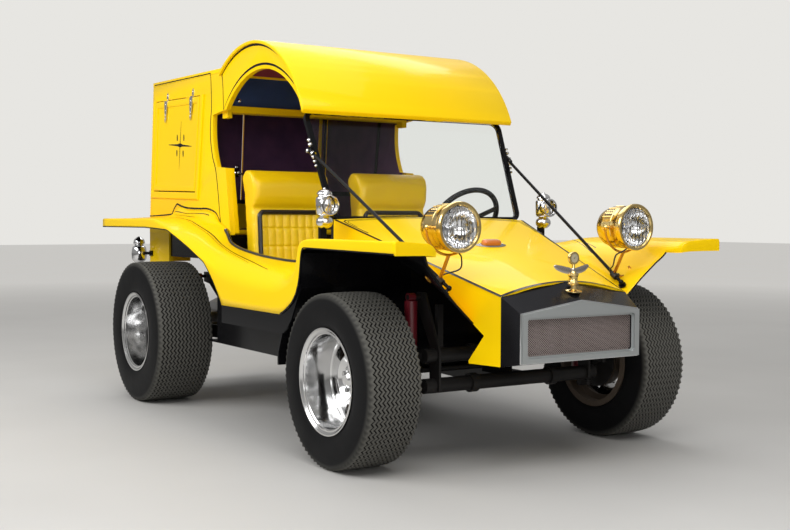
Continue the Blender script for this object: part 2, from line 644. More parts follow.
RIDGE = ((1990, 668), (1700, 664), (1500, 668), (1300, 676), (1100, 690), (850, 716), (640, 738))
for side_name, side in SIDES:
    shell = surface_of(fenders[side_name])
    # edge line under the shelf's side, down the leg behind the wheel and up over the rear wheel
    front = [*range(-515, 175, 14), 178, 184, 190, 195, 199, 202, 205, 208, 211, 215, 220, *range(230, 396, 8), 396]
    lines = []
    for foot in (front, [*range(1000, 1640, 12), *range(1640, 2700, 30), 2698]):
        edge = [(s, *body_section(s)[-1]) for s in foot]
        lines.append(ribbon([(at(s, z + 2.5, side * (x + 0.4)), Vector((side, 0, 0))) for s, x, z in edge], 0.0055))
    # double line along the shoulder from the rear fender down to the cockpit's side
    lines.append(brushed(shell, 1150, RIDGE, side, lambda share: 0.003 + 0.004 * sin(pi * share)))
    lines.append(brushed(shell, 1150, [(s, x + 14) for s, x in RIDGE[1:-1]], side,
                         lambda share: 0.0016 + 0.0018 * sin(pi * share)))
    # short crossing lines on the front fender's valley
    for run in (((-60, 520), (60, 560), (200, 600)), ((-40, 560), (80, 590), (190, 640))):
        lines.append(brushed(shell, 1150, run, side, 0.004))
    striped(f"fender_pinstripes_{side_name}", lines)

# Radiator shell and its mesh
# Polished steel surround with a satin silver face, and a mesh of waved wires held in its opening.
# The dark polish of its sides mirrors the yellow hood; the mesh is one wire repeated by a node tree.
SHELL_FACE_STATION = -573
SHELL_FACE = ((-296, 443), (296, 443), (296, 630), (0, 672), (-296, 630), (-296, 443))
OPENING = (263, 470)
shell_metal, tree, shader = new_material("radiator_shell_metal")
place = node(tree, "TexCoord", out="Object")
face = maths(tree, "LESS_THAN", node(tree, "SeparateXYZ", place, out="Y"), at(SHELL_FACE_STATION + 1, 0).y)
plug(tree, shader, Base_Color=mixed(tree, face, (0.035, 0.035, 0.04), (0.44, 0.46, 0.46)),
     Roughness=maths(tree, "MULTIPLY_ADD", node(tree, "TexNoise", Vector=place, Scale=16, Detail=4), 0.1,
                     maths(tree, "MULTIPLY_ADD", face, 0.22, 0.15)),
     Metallic=maths(tree, "MULTIPLY_ADD", face, -0.15, 0.85))
dress(shell_metal, "radiator_shell")
chrome = finish_of("chrome_plate", (0.74, 0.74, 0.75), 0.04, 0.12, (0.66, 0.66, 0.67), 1.0, depth=0.01)
brass = finish_of("polished_brass", (0.84, 0.66, 0.30), 0.12, 0.26, (0.72, 0.50, 0.18), 1.0, depth=0.02)
mesh_wire = finish_of("mesh_wire", (0.50, 0.43, 0.41), 0.35, 0.5, (0.36, 0.29, 0.27), 0.6, depth=0.1)
grille_back = finish_of("grille_backing", (0.045, 0.030, 0.026), 0.6, 0.8)


def ring_of(one, two, steps):
    """Directions round a circle from one axis towards the other."""
    return [one * cos(2 * pi * j / steps) + two * sin(2 * pi * j / steps) for j in range(steps)]


def rod(points, radius, sides=10, caps=True):
    """A round bar through points in metres; radius is one size or one for each point, in metres."""
    rings = []
    normal = None
    for i, point in enumerate(points):
        ahead = (points[min(i + 1, len(points) - 1)] - points[max(i - 1, 0)]).normalized()
        if normal is None:
            normal = ahead.orthogonal().normalized()
        normal = (normal - ahead * normal.dot(ahead)).normalized()
        size = radius[i] if isinstance(radius, (list, tuple)) else radius
        rings.append([point + way * size for way in ring_of(normal, ahead.cross(normal), sides)])
    return stacked(rings, caps)


def turned(profile, origin, axis, steps=48):
    """A profile of (along, radius) in millimetres turned about an axis through origin; ends at radius 0 close."""
    axis = Vector(axis).normalized()
    one = axis.orthogonal().normalized()
    ways = ring_of(one, axis.cross(one), steps)
    return stacked([[origin + (axis * along + way * max(radius, 0.001)) / 1000 for way in ways]
                    for along, radius in profile], False)


def plate(outline, origin, across, up, thickness):
    """A flat plate from its outline in millimetres, its back set off by the thickness along across x up."""
    across, up = Vector(across), Vector(up)
    front = [origin + (across * u + up * v) / 1000 for u, v in outline]
    return stacked([front, [point + across.cross(up) * thickness / 1000 for point in front]])


# pale polished edge round the shell's face
edge_run = [at(SHELL_FACE_STATION, z, x) for x, z in SHELL_FACE]
joined("shell_edge", "satin_silver", (chrome, [rod([a, b], 0.0022, 6) for a, b in zip(edge_run, edge_run[1:])]))

weave, given, woven = tree_named("mesh_weave", Rows=30, Gap=0.0046, Shift=0.00525)
rows = node(weave, "GeometryNodeMeshLine", Count=given["Rows"], Offset=node(weave, "CombineXYZ", Z=given["Gap"]))
odd = maths(weave, "MODULO", node(weave, "GeometryNodeInputIndex"), 2)
shift = node(weave, "CombineXYZ", X=maths(weave, "MULTIPLY", odd, given["Shift"]))
moved = node(weave, "GeometryNodeSetPosition", Geometry=rows, Offset=shift)
wires = node(weave, "GeometryNodeInstanceOnPoints", Points=moved, Instance=given["Geometry"])
real = node(weave, "GeometryNodeRealizeInstances", Geometry=wires)
plug(weave, woven, Geometry=node(weave, "GeometryNodeSetMaterial", Geometry=real, Material=given["Material"]))
wave = [at(-562 + 0.8 * cos(pi * i / 2), OPENING[1] + 2 + 2.2 * sin(pi * i / 2), -OPENING[0] - 1 + 2.625 * i)
        for i in range(200)]
wires_piece = mesh_piece("grille_wires", *rod(wave, 0.00125, 4, False), mesh_wire)
grown(wires_piece, weave, Rows=30, Gap=0.0046, Shift=0.00525, Material=mesh_wire)
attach(wires_piece, "chassis")
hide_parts("grille_mesh")
rim_out = ((-266, 467), (266, 467), (266, 610), (-266, 610))
rim_in = ((-261, 472), (261, 472), (261, 605), (-261, 605))
rim_bars = [plate([rim_out[i], rim_out[(i + 1) % 4], rim_in[(i + 1) % 4], rim_in[i]], at(-560.6, 0), (1, 0, 0),
                  (0, 0, 1), 3) for i in range(4)]
backing = plate([(-262, 471), (262, 471), (262, 606), (-262, 606)], at(-556.5, 0), (1, 0, 0), (0, 0, 1), -0.8)
joined("grille_frame", "satin_silver", (mesh_wire, rim_bars), (grille_back, [backing]))

# Nose ornament and hood lamp
# A brass cap and fluted column with cast wings and a small dial, and an amber marker lamp on a chromed oval.
ORNAMENT_STATION = -525
FORWARD = Vector((0, 1, 0))
cap = [(-2, 20), (-2, 32), (1, 34), (4, 33.6), (6, 30), (8, 16), (10, 12), (26, 11)]
column_profile = [(0, 11), (1, 21), (3, 23), (7, 23), (9, 19), (12, 17.5), (15, 18.5), (18, 17), (22, 16.6), (30, 17),
                  (34, 18), (36, 20.5), (42, 21), (44, 19), (46, 13), (54, 9), (62, 7), (68, 6.5), (80, 6)]
column = turned(column_profile, at(ORNAMENT_STATION, 728), (0, 0, 1), 32)
for k, point in enumerate(column[0]):
    if 0.746 < point.z < 0.760 and k % 2:
        axis = at(ORNAMENT_STATION, 0).xy
        point.xy = axis + (point.xy - axis) * 0.93
dial_front = at(ORNAMENT_STATION - 7, 832)
dial_case = [(0, 18), (-0.2, 22), (0.6, 24.5), (3, 25), (5, 23.4), (9, 23.4), (11, 25), (13, 24.4), (14, 20), (14, 0)]
joined("nose_ornament_brass", "brass", (brass, [turned(cap, at(ORNAMENT_STATION, 703), (0, -0.131, 1), 40), column,
                                                turned(dial_case, dial_front, FORWARD, 40)]),
       stands_for="nose_ornament")
dial_paper = finish_of("dial_face", (0.55, 0.50, 0.33), 0.3, 0.45, (0.40, 0.33, 0.2), coat=0.6)
dial_ink = finish_of("dial_ink", (0.02, 0.02, 0.02), 0.4, 0.5)
face_at = dial_front + Vector((0, 0.0012, 0))
marks = [rod([face_at + mark * 0.0135, face_at + mark * 0.0165], 0.0006, 5) for mark in (
    Vector((sin(turn), 0, cos(turn))) for turn in (radians(-120 + 30 * k) for k in range(9)))]
marks.append(rod([face_at - Vector((0.003, 0, 0.002)), face_at + Vector((0.009, 0, 0.006))], [0.0009, 0.0003], 5))
marks.append(turned([(-0.9, 0), (-0.9, 1.8), (0.4, 2.2)], face_at, FORWARD, 12))
joined("nose_dial_face", "satin_silver", (dial_paper, [turned([(0, 0), (0, 18.6), (1.4, 19)], face_at, FORWARD, 32)]),
       (dial_ink, marks))
wing_silver = finish_of("cast_wing_silver", (0.62, 0.58, 0.54), 0.18, 0.32, (0.45, 0.38, 0.32), 1.0, depth=0.15)
wing_bits = [turned([(-9, 0), (-8, 6), (-3, 10), (3, 10), (8, 6), (9, 0)], at(ORNAMENT_STATION, 786), FORWARD, 20)]
for side in (1, -1):
    # each wing is a row of sections from root to tip, thin, curved back and rising towards its tip
    rings = []
    for t in (i / 12 for i in range(13)):
        chord = 34 * (1 - t)**0.5 * (0.6 + 0.9 * t) + 1.5
        middle = at(ORNAMENT_STATION + 12 * t * t, 782 + 7 * t + 13 * t * t, side * (6 + 84 * t))
        rings.append([middle + Vector((0, 2.6 * (1 - 0.6 * t) * sin(a) + 0.7 * sin(a + t * 22) * (1 - t),
                                       chord / 2 * cos(a))) / 1000 for a in (2 * pi * j / 10 for j in range(10))])
    wing_bits.append(stacked(rings))
joined("nose_wings", "satin_silver", (wing_silver, wing_bits))

lamp_foot = at(0, 871.1)
lamp_up = Vector((0, -0.275, 1)).normalized()
lamp_back = Vector((0, 1, 0.275)).normalized()


def oval_rings(rings, power, point_share=0.0, steps=64):
    """Stacked ovals (half width, half depth, height) on the hood lamp's seat, from square-ended to pointed."""
    def bent(value):
        return abs(value)**(2 / power) * (1 if value > 0 else -1)
    verts, faces = stacked([[
        lamp_foot + Vector((half * bent(cos(a)), 0, 0)) / 1000
        + lamp_back * deep * bent(sin(a)) * (1 - point_share * abs(bent(cos(a)))**3) / 1000 + lamp_up * high / 1000
        for a in (2 * pi * j / steps for j in range(steps))] for half, deep, high in rings], False)
    return verts, faces + [tuple(range(len(verts) - steps, len(verts)))]


silver_base = finish_of("lamp_base_silver", (0.50, 0.50, 0.52), 0.15, 0.3, (0.36, 0.34, 0.34), 1.0)
base_rings = ((80, 33, 0), (80, 33, 1.4), (78, 31.5, 2.6), (66, 27, 4.6), (54, 24, 5.8), (30, 14, 6.4))
joined("hood_lamp_base", "chrome", (silver_base, [oval_rings(base_rings, 2.0, 0.35)]), stands_for="hood_lamp")


def rippled(tree, scale, strength, depth, **values):
    """The normal of moulded ribs."""
    ribs = node(tree, "TexWave", out="Fac", Vector=node(tree, "TexCoord", out="Object"), Scale=scale, **values)
    return node(tree, "Bump", Height=ribs, Strength=strength, Distance=depth)


amber, tree, shader = new_material("amber_lens")
plug(tree, shader, Base_Color=(0.60, 0.17, 0.015), Roughness=0.12, Coat_Weight=0.6, Subsurface_Weight=0.25,
     Subsurface_Radius=(0.02, 0.006, 0.002), Normal=rippled(tree, 52, 0.5, 0.001))
lens_rings = ((47, 20.5, 5.6), (47, 20.5, 12), (46, 19.6, 17), (43.5, 17.5, 21), (39, 14, 23.8), (30, 8, 25.2),
              (12, 2, 25.8))
joined("hood_lamp_lens", "amber_plastic", (amber, [oval_rings(lens_rings, 3.4)]))
lamp_screws = [turned([(0, 0.01), (3.4, 3.2), (4.6, 2.2), (5, 0)], lamp_foot + Vector((x, 0, 0)) + lamp_up * 0.004,
                      lamp_up, 12) for x in (0.061, -0.061)]
joined("hood_lamp_screws", "chrome", (chrome, lamp_screws))

# Headlights
# Brass drums with a stepped rim, a perforated vent along the top and a chromed reflector behind a fluted lens.
# Each hangs by side knobs in a gold yoke whose stem is clamped to the stay rod.
LAMP_FRONT, LAMP_HEIGHT, LAMP_OUT = -399, 950, 450
YOKE_STATION = LAMP_FRONT + 70
YOKE_RADIUS = 105
DRUM_HALF = 0.0882
gold = finish_of("gilt_bracket", (0.72, 0.38, 0.045), 0.16, 0.28, (0.55, 0.26, 0.03), 0.85, depth=0.05)
lead_rubber = finish_of("black_lead", (0.012, 0.012, 0.012), 0.4, 0.55, scale=600, depth=0.3)
vent_dark = finish_of("vent_shadow", (0.02, 0.012, 0.006), 0.6, 0.7)


def glass_of(name, colour, roughness, passes=True, **values):
    """Clear glass; where it passes light on, lamps shine through it."""
    material, tree, shader = new_material(name)
    plug(tree, shader, Base_Color=colour, Roughness=roughness, Transmission_Weight=1.0, **values)
    if passes:
        either = node(tree, "MixShader", node(tree, "LightPath", out="Is Shadow Ray"), shader.outputs[0],
                      node(tree, "BsdfTransparent"))
        plug(tree, tree.nodes["Material Output"], Surface=either)
    return material, tree, shader


lens_glass, tree, shader = glass_of("fluted_lens_glass", (0.97, 0.98, 0.98), 0.02, IOR=1.42)
plug(tree, shader, Normal=rippled(tree, 15, 1.0, 0.005, Distortion=1.6))


def swept(run, count):
    """Smooth points in metres through a run of points."""
    points = []
    for i in range(len(run) - 1):
        before, start, end, after = (run[max(i - 1, 0)], run[i], run[i + 1], run[min(i + 2, len(run) - 1)])
        for t in (step / count for step in range(count)):
            points.append(0.5 * (2 * start + (end - before) * t + (2 * before - 5 * start + 4 * end - after) * t * t
                                 + (3 * start - before - 3 * end + after) * t**3))
    return points + [run[-1]]


def spread(degrees):
    """The direction from a lamp's axis at an angle from straight up."""
    return Vector((sin(radians(degrees)), 0, cos(radians(degrees))))


drum_profile = [(2, 80), (-3, 83), (-7, 86), (-8, 91), (-7, 95.5), (-3, 97.6), (4, 98), (9, 97), (11, 93), (12, 91.5),
                (24, 91.5), (26, 89.8), (29, 88), (60, 88), (62, 89.6), (66, 89.6), (68, 88), (104, 88), (112, 88.5),
                (118, 87), (127, 84.5), (140, 81), (153, 75), (165, 65), (175, 51), (182, 36), (186, 20), (187.5, 1)]
reflector_profile = [(6, 80), (12, 78), (30, 67), (48, 50), (60, 32), (66, 14), (67, 1)]
bulb_profile = [(30, 0.01), (31, 5), (38, 7.5), (60, 7.5)]
lens_profile = [(3, 80), (-2, 78), (-4.5, 66), (-6, 50), (-7.2, 30), (-7.8, 14), (-8, 1)]
knob_profile = [(0, 9), (5, 9), (6, 5), (13, 5), (14, 10.5), (19, 11), (22, 8), (24, 0.01)]
for side_name, side in SIDES:
    centre = at(LAMP_FRONT, LAMP_HEIGHT, side * LAMP_OUT)
    drum = [turned(drum_profile, centre, FORWARD, 72)]
    # the vent's raised ribs along the top, with rows of holes between them
    holes = [turned([(0, 4.2), (1.2, 4.0), (1.3, 0.01)],
                    centre + FORWARD * (0.073 + 0.0115 * row) + spread(degrees) * DRUM_HALF, spread(degrees), 8)
             for degrees in (-52, -43, -34, 34, 43, 52) for row in range(4)]
    for degrees in (-60, -26, 0, 26, 60):
        start = centre + FORWARD * 0.066 + spread(degrees) * DRUM_HALF
        drum.append(rod([start, start + FORWARD * 0.05], 0.0024, 6))
    for turn in (0.35, 2.1, 3.5, 5.2):
        out = Vector((sin(turn), 0, cos(turn)))
        drum.append(turned([(0, 2.6), (2.6, 2.3), (3.2, 0.01)], centre + FORWARD * 0.018 + out * 0.0912, out, 10))
    # side knobs on the yoke
    drum += [turned(knob_profile, at(YOKE_STATION, LAMP_HEIGHT, side * LAMP_OUT + knob * 86), (knob, 0, 0), 18)
             for knob in (1, -1)]
    joined(f"headlight_drum_{side_name}", "brass", (brass, drum), (vent_dark, holes),
           stands_for="headlights" if side > 0 else None)
    joined(f"headlight_reflector_{side_name}", "chrome", (chrome, [
        turned(reflector_profile, centre, FORWARD, 64), turned(bulb_profile, centre, FORWARD, 16),
        turned([(2.6, 79), (3.4, 83), (1.0, 84.6)], centre, FORWARD, 64)]))
    joined(f"headlight_lens_{side_name}", "glass", (lens_glass, [turned(lens_profile, centre, FORWARD, 64)]))
    # yoke, stem and the hooked tail behind the clamp
    yoke = [at(YOKE_STATION, LAMP_HEIGHT - YOKE_RADIUS * sin(a), side * LAMP_OUT + YOKE_RADIUS * cos(a))
            for a in (pi * i / 26 for i in range(27))]
    clamp = at(-274.5, 744.5, side * 452)
    tail = swept([clamp + Vector((side * a, b, c)) / 1000 for a, b, c in (
        (8, -2, 0), (30, -6, -4), (56, -12, 0), (72, -15, 14), (75, -14, 30), (70, -12, 38))], 6)
    stem = rod([yoke[13], clamp + Vector((0, 0, 0.010))], 0.0075, 10)
    joined(f"headlight_yoke_{side_name}", "brass", (gold, [rod(yoke, 0.0052, 8), stem, rod(tail, 0.0052, 8)]))
    stay = at(595, 1282, side * 549) - at(-318, 720, side * 458)
    lead = [centre + Vector((-side * a, b, c)) / 1000 for a, b, c in (
        (14, 36, -90), (30, 42, -101), (52, 60, -118), (54, 74, -160))]
    lead += [clamp + Vector((-side * a, b, c)) / 1000 for a, b, c in ((20, 8, 22), (12, 0, 2), (10, -16, -8))]
    joined(f"headlight_clamp_{side_name}", "black_plastic", (lead_rubber, [
        turned([(-17, 8), (-17, 12), (-15, 14), (15, 14), (17, 12), (17, 8)], clamp, stay, 20),
        turned([(0, 9), (14, 9), (16, 7), (17, 0.01)], clamp + Vector((side * 0.008, 0, 0)), (side, -0.2, 0), 14),
        rod(swept(lead, 8), 0.0032, 7)]))

# Cowl and tail lamps
# Chromed carriage lamps on black uprights beside the cowl, and lantern tail lamps on bent brackets.
clear_lens, _, _ = glass_of("lamp_lens", (0.95, 0.93, 0.90), 0.03, passes=False)
red_lens, tree, shader = new_material("red_lamp_lens")
plug(tree, shader, Base_Color=(0.42, 0.006, 0.004), Roughness=0.08, Coat_Weight=0.6)
UPWARD = Vector((0, 0, 1))
ball = [(-100, 0.01), (-99, 8), (-96, 20), (-88, 30), (-78, 35.4), (-66, 36), (-57, 33), (-50, 25), (-46, 21),
        (-43, 22), (-41, 32), (-39, 34), (-37, 33), (-34, 35.5), (0, 37), (28, 37.6), (33, 36), (36, 31), (40, 28),
        (44, 28), (46, 33), (50, 33), (54, 31), (60, 27), (65, 20), (68, 12), (70, 7), (73, 6.5), (75.5, 4),
        (76, 0.01)]
bezel = [(8, 36), (-20, 37.5), (-24, 40), (-27, 38.6), (-30, 43), (-34, 44.4), (-39, 43.6), (-42, 41), (-41, 36),
         (-36, 34), (-30, 32)]
dish = [(-33, 33), (-26, 30), (-14, 20), (-8, 8), (-7, 0.01)]
cover = [(-34, 34), (-38, 31), (-40.5, 22), (-41.6, 10), (-41.8, 0.01)]
lantern = [(-66, 0.01), (-65, 12), (-60, 22), (-50, 30), (-44, 36), (-38, 40), (-30, 42), (-10, 43.6), (0, 44),
           (10, 43), (30, 40), (37, 37), (42, 29), (46, 24), (49, 24), (52, 30), (58, 33.6), (64, 33), (70, 31.6),
           (78, 30), (84, 24), (90, 17), (95, 10), (97.6, 4), (98, 0.01)]


def upright(corners, low, high, side):
    """A standing block from its corners (station, across) between two heights."""
    return stacked([[at(s, z, side * x) for s, x in corners] for z in (low, high)])


for side_name, side in SIDES:
    body_at, lens_at = at(375, 1038, side * 600), at(363, 1038, side * 600)
    shapes = [turned(ball, body_at, UPWARD, 40), turned(bezel, lens_at, FORWARD, 48),
              turned(dish, lens_at, FORWARD, 40)]
    for turn in (0, 2.1, 4.2):
        out = Vector((cos(turn), 0, sin(turn)))
        shapes.append(turned([(0, 2.4), (3, 2.2), (3.6, 0.01)], lens_at - FORWARD * 0.022 + out * 0.0378, out, 8))
    joined(f"cowl_lamp_{side_name}", "chrome", (chrome, shapes), stands_for="cowl_lamps" if side > 0 else None)
    joined(f"cowl_lamp_lens_{side_name}", "glass", (clear_lens, [turned(cover, lens_at, FORWARD, 40)]))
    post = upright([(382, 585), (382, 615), (403, 615), (403, 585)], 800, 968, side)
    foot = plate([(-22, 0), (22, 0), (22, 44), (-22, 44)], at(373, 797, side * 600), (1, 0, 0), FORWARD, -7)
    joined(f"cowl_lamp_upright_{side_name}", "black_steel", (black_gloss, [post, foot]))
for side_name, side in SIDES:
    lamp_at = at(2600, 780, side * 620)
    shapes = [turned(lantern, lamp_at, UPWARD, 40),
              turned([(34, 30), (38, 32), (43.6, 30), (44.2, 24)], lamp_at, FORWARD, 32)]
    joined(f"tail_lamp_{side_name}", "chrome", (chrome, shapes), stands_for="tail_lamps" if side > 0 else None)
    joined(f"tail_lamp_lens_{side_name}", "amber_plastic",
           (red_lens, [turned([(38, 25), (42, 24.4), (44, 18), (44.6, 0.01)], lamp_at, FORWARD, 32)]))
    base = plate([(-22, 0), (22, 0), (22, 30), (-22, 30)], at(2525, 765, side * 570.5), FORWARD, UPWARD, side * 7.5)
    bracket = [base, upright([(2515, 577), (2543, 577), (2603, 606), (2597, 630)], 772, 788, side)]
    joined(f"tail_lamp_bracket_{side_name}", "black_steel", (black_gloss, bracket))

# Windshield and stay rods
# Clear flat glass in a black frame; chromed knuckles and knobs hold the rods at the posts.
# The rods end in black feet on the fenders.
screen_glass, _, _ = glass_of("windshield_glass", (0.93, 0.96, 0.95), 0.0, IOR=1.2, Specular_IOR_Level=0.12)
dress(screen_glass, "windshield_glass")
for side_name, side in SIDES:
    top = at(595, 1282, side * 549)
    post_up = Vector((side * 0.0632, 0.4038, 0.9127)).normalized()
    shapes = [turned([(-34, 6), (-34, 11), (-31, 13), (-22, 13), (-20, 10), (-8, 10), (-6, 13), (6, 13), (9, 10),
                      (9.5, 0.01)], top, top - at(-318, 722, side * 458), 18)]
    for lift, reach in ((0.030, 9.5), (0.052, 8), (-0.030, 9.5), (-0.052, 7.5), (-0.074, 6.5)):
        knob = [(-reach, 0.01), (-reach * 0.75, reach * 0.66), (0, reach), (reach * 0.75, reach * 0.66), (reach, 0.01)]
        shapes.append(turned(knob, top + post_up * lift - Vector((0, 0.012, 0)), (0, -0.91, 0.40), 14))
    shapes.append(turned([(0, 5), (12, 5), (13, 8.5), (19, 9), (22, 6), (23, 0.01)], top, (side, 0, 0), 14))
    joined(f"screen_knuckles_{side_name}", "chrome", (chrome, shapes))

# Seats
# Bucket seats in yellow vinyl over foam: a rolled headrest, side bolsters and a tufted centre edged in black.
# Each pad is swollen as stuffed cloth; its channels and seams are sewn in afterwards.
yellow_vinyl = finish_of("yellow_vinyl", (0.98, 0.66, 0.0025), 0.30, 0.42, (0.94, 0.58, 0.002), scale=1200, depth=0.22)
black_vinyl = finish_of("black_vinyl_piping", (0.014, 0.012, 0.014), 0.28, 0.4, scale=1200, depth=0.2)
SEAT_X = 305
PAD_HALF = 168
SWELL_CAP = 0.010
TUFT_PITCH = 42


def stuffed(name, profile, half):
    """A pad drawn out from its side profile, rounded and swollen by pressure; no point moves more than the cap."""
    pad = mesh_piece(name, *stacked([[at(s, z, u) for s, z in profile] for u in (-half, half)]), yellow_vinyl)
    edited(pad.data, lambda shape: bmesh.ops.recalc_face_normals(shape, faces=shape.faces))
    remesh = pad.modifiers.new("remesh", "REMESH")
    remesh.mode = "VOXEL"
    remesh.voxel_size = 0.0085
    pad.data = made_real(pad)
    pad.modifiers.clear()
    for _ in range(5):
        edited(pad.data, lambda shape: bmesh.ops.smooth_vert(
            shape, verts=shape.verts, factor=0.5, use_axis_x=True, use_axis_y=True, use_axis_z=True))
    cloth = pad.modifiers.new("cloth", "CLOTH")
    cloth.settings.use_pressure = True
    cloth.settings.uniform_pressure_force = 4
    cloth.settings.effector_weights.gravity = 0
    for frame_number in range(1, 21):
        scene.frame_set(frame_number)
    swollen = made_real(pad)
    pad.modifiers.clear()
    scene.frame_set(1)
    for vertex, place in zip(pad.data.vertices, swollen.vertices):
        move = place.co - vertex.co
        vertex.co += move * min(1.0, SWELL_CAP / max(move.length, SWELL_CAP))
    finer = pad.modifiers.new("finer", "SUBSURF")
    finer.levels = finer.render_levels = 1
    pad.data = made_real(pad)
    pad.modifiers.clear()
    return pad


def soft_step(value, start, end):
    t = min(max((value - start) / (end - start), 0.0), 1.0)
    return t * t * (3 - 2 * t)


def tufted(pad, look, along, low, high, rows):
    """Sinks the centre panel and sews channels across it; look is the way in, along the channels' direction."""
    look, along = Vector(look), Vector(along)
    for vertex, normal in zip(pad.data.vertices, [v.normal.copy() for v in pad.data.vertices]):
        u, v = vertex.co.x * 1000, vertex.co.dot(along) * 1000
        inside = soft_step(PAD_HALF - abs(u), -4, 10) * soft_step(v - low, -4, 10) * soft_step(high - v, -4, 10)
        if inside > 0 and normal.dot(look) <= -0.35:
            channel = abs(sin(pi * u / TUFT_PITCH))**0.6
            seam = min(abs((v - low) / rows - round((v - low) / rows)) * rows / 9, 1.0)
            vertex.co += look * inside * (13 - 7 * channel * seam**0.6) / 1000


def edged(pad, corners, look, radius):
    """A run of piping laid on a pad round these corners."""
    hits = laid_on(surface_of(pad), corners + corners[:1], look, 0.012)
    return rod([hit - Vector(look) * radius * 0.25 for hit, _ in hits], radius, 8)


back_profile = [(1204, 560), (1240, 700), (1266, 1008), (1280, 1034), (1258, 1056), (1248, 1090), (1246, 1150),
                (1258, 1204), (1292, 1232), (1344, 1234), (1380, 1200), (1368, 1080), (1324, 700), (1290, 548),
                (1244, 530)]
cushion_profile = [(724, 530), (728, 604), (762, 644), (850, 650), (1190, 602), (1200, 530)]
seat_back = stuffed("seat_back_left", back_profile, 219)
seat_cushion = stuffed("seat_cushion_left", cushion_profile, 225)
tufted(seat_back, FORWARD, UPWARD, 664, 1016, 90)
tufted(seat_cushion, DOWN, FORWARD, -1057.5 + 790, -1057.5 + 1186, 92)
seat_pipes = [
    edged(seat_back, [at(1100, z, u) for z, u in ((668, -172), (700, -176), (1000, -176), (1016, -160), (1016, 160),
                                                  (1000, 176), (700, 176), (668, 172))], FORWARD, 0.012),
    edged(seat_cushion, [at(s, 700, u) for s, u in ((796, -160), (812, -176), (1180, -176), (1184, 176), (812, 176),
                                                    (796, 160))], DOWN, 0.006),
]
for side_name, side in reversed(SIDES):
    shift = Vector((side * SEAT_X / 1000, 0, 0))
    for pad, part in ((seat_back, "back"), (seat_cushion, "cushion")):
        piece = pad
        if side < 0:
            piece = placed(f"seat_{part}_right", pad.data.copy())
            piece.data.name = piece.name
        piece.data.transform(Matrix.Translation(shift))
        piece.data.shade_smooth()
        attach(piece, "chassis")
        if part == "back":
            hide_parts(f"seat_{side_name}")
    joined(f"seat_piping_{side_name}", "yellow_vinyl",
           (black_vinyl, [([v + shift for v in verts], faces) for verts, faces in seat_pipes]))
    pedestal = stacked([[at(s, z, side * SEAT_X + u) for s, z in ((760, 370), (760, 545), (1270, 545), (1270, 370))]
                        for u in (-168, 168)])
    joined(f"seat_pedestal_{side_name}", "black_panel", (black_gloss, [pedestal]))

# Cab and roof
# The same yellow shell as the body, with softened edges; the canopy is lined with maroon cloth inside.
# Pinstripes follow the arch, the roof's edge and the box.
maroon_cloth = finish_of("maroon_headliner", (0.26, 0.028, 0.060), 0.7, 0.9, (0.20, 0.02, 0.045), scale=500, depth=0.5)
purple_cloth = finish_of("purple_lining", (0.20, 0.07, 0.17), 0.65, 0.85, (0.05, 0.026, 0.085), scale=500, depth=0.5)
navy_panel = finish_of("navy_panel", (0.02, 0.06, 0.19), 0.45, 0.6, (0.008, 0.03, 0.095), scale=500, depth=0.2)
black_carpet = finish_of("black_carpet", (0.018, 0.016, 0.018), 0.8, 0.95, scale=260, depth=0.9)
ROOF_ARC = (1165.7, 1225.0, 611.6)
OPENING_ARC = (1069.7, 1145.2, 547.4)
CAB_FACE = 570.5


def softened(name, width, materials, pick=None, body="chassis"):
    """A copy of a CAD node with rounded edges in its place; pick(centre, normal) gives each face's material."""
    mesh = nodes[name].data.copy()
    mesh.name = f"{name}_panel"
    mesh.materials.clear()
    for material in materials:
        mesh.materials.append(material)

    def merged(shape):
        bmesh.ops.remove_doubles(shape, verts=shape.verts, dist=2e-5)
        bmesh.ops.dissolve_limit(shape, angle_limit=radians(0.6), verts=shape.verts, edges=shape.edges)
        shape.normal_update()
        for face in shape.faces:
            face.smooth = True
            face.material_index = pick(face.calc_center_median(), face.normal) if pick else 0

    edited(mesh, merged)
    piece = placed(mesh.name, mesh)
    edges = piece.modifiers.new("edges", "BEVEL")
    edges.width = width
    edges.segments = 2
    edges.limit_method = "ANGLE"
    edges.angle_limit = radians(35)
    edges.harden_normals = True
    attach(piece, body)
    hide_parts(name)


softened("roof", 0.003, [yellow_gelcoat])
lining = []
for angle in (radians(152 - 96 * i / 40) for i in range(41)):
    lining.append([at(ROOF_ARC[0] + reach * cos(angle), ROOF_ARC[1] + reach * sin(angle), x)
                   for reach, x in ((594.5, -544), (594.5, 544), (592.5, 544), (592.5, -544))])
joined("headliner", "black_panel", (maroon_cloth, [stacked(lining)]))
for side_name, side in SIDES:
    softened(f"cab_side_{side_name}", 0.0025, [yellow_gelcoat, purple_cloth],
             lambda centre, normal: normal.x * side < -0.9 and abs(centre.x) > 0.53)
softened("cross_bar", 0.003, [yellow_gelcoat])
dress(navy_panel, "head_panel")


def on_side(points, side, width, reach=CAB_FACE):
    """A smooth stripe on the cab's outer face through points of station and height."""
    run = swept([at(s, z, side * reach) for s, z in points], 8)
    return ribbon([(point, Vector((side, 0, 0))) for point in run], width)


def on_arc(arc, offset, start, end, side, width):
    """A stripe along an arc over the cab, shifted outward by offset."""
    centre_s, centre_z, radius = arc
    stations = [start + (end - start) * i / 60 for i in range(61)]
    heights = [centre_z + sqrt(max((radius + offset)**2 - (s - centre_s)**2, 0)) for s in stations]
    return ribbon([(at(s, z, side * CAB_FACE), Vector((side, 0, 0))) for s, z in zip(stations, heights)], width)


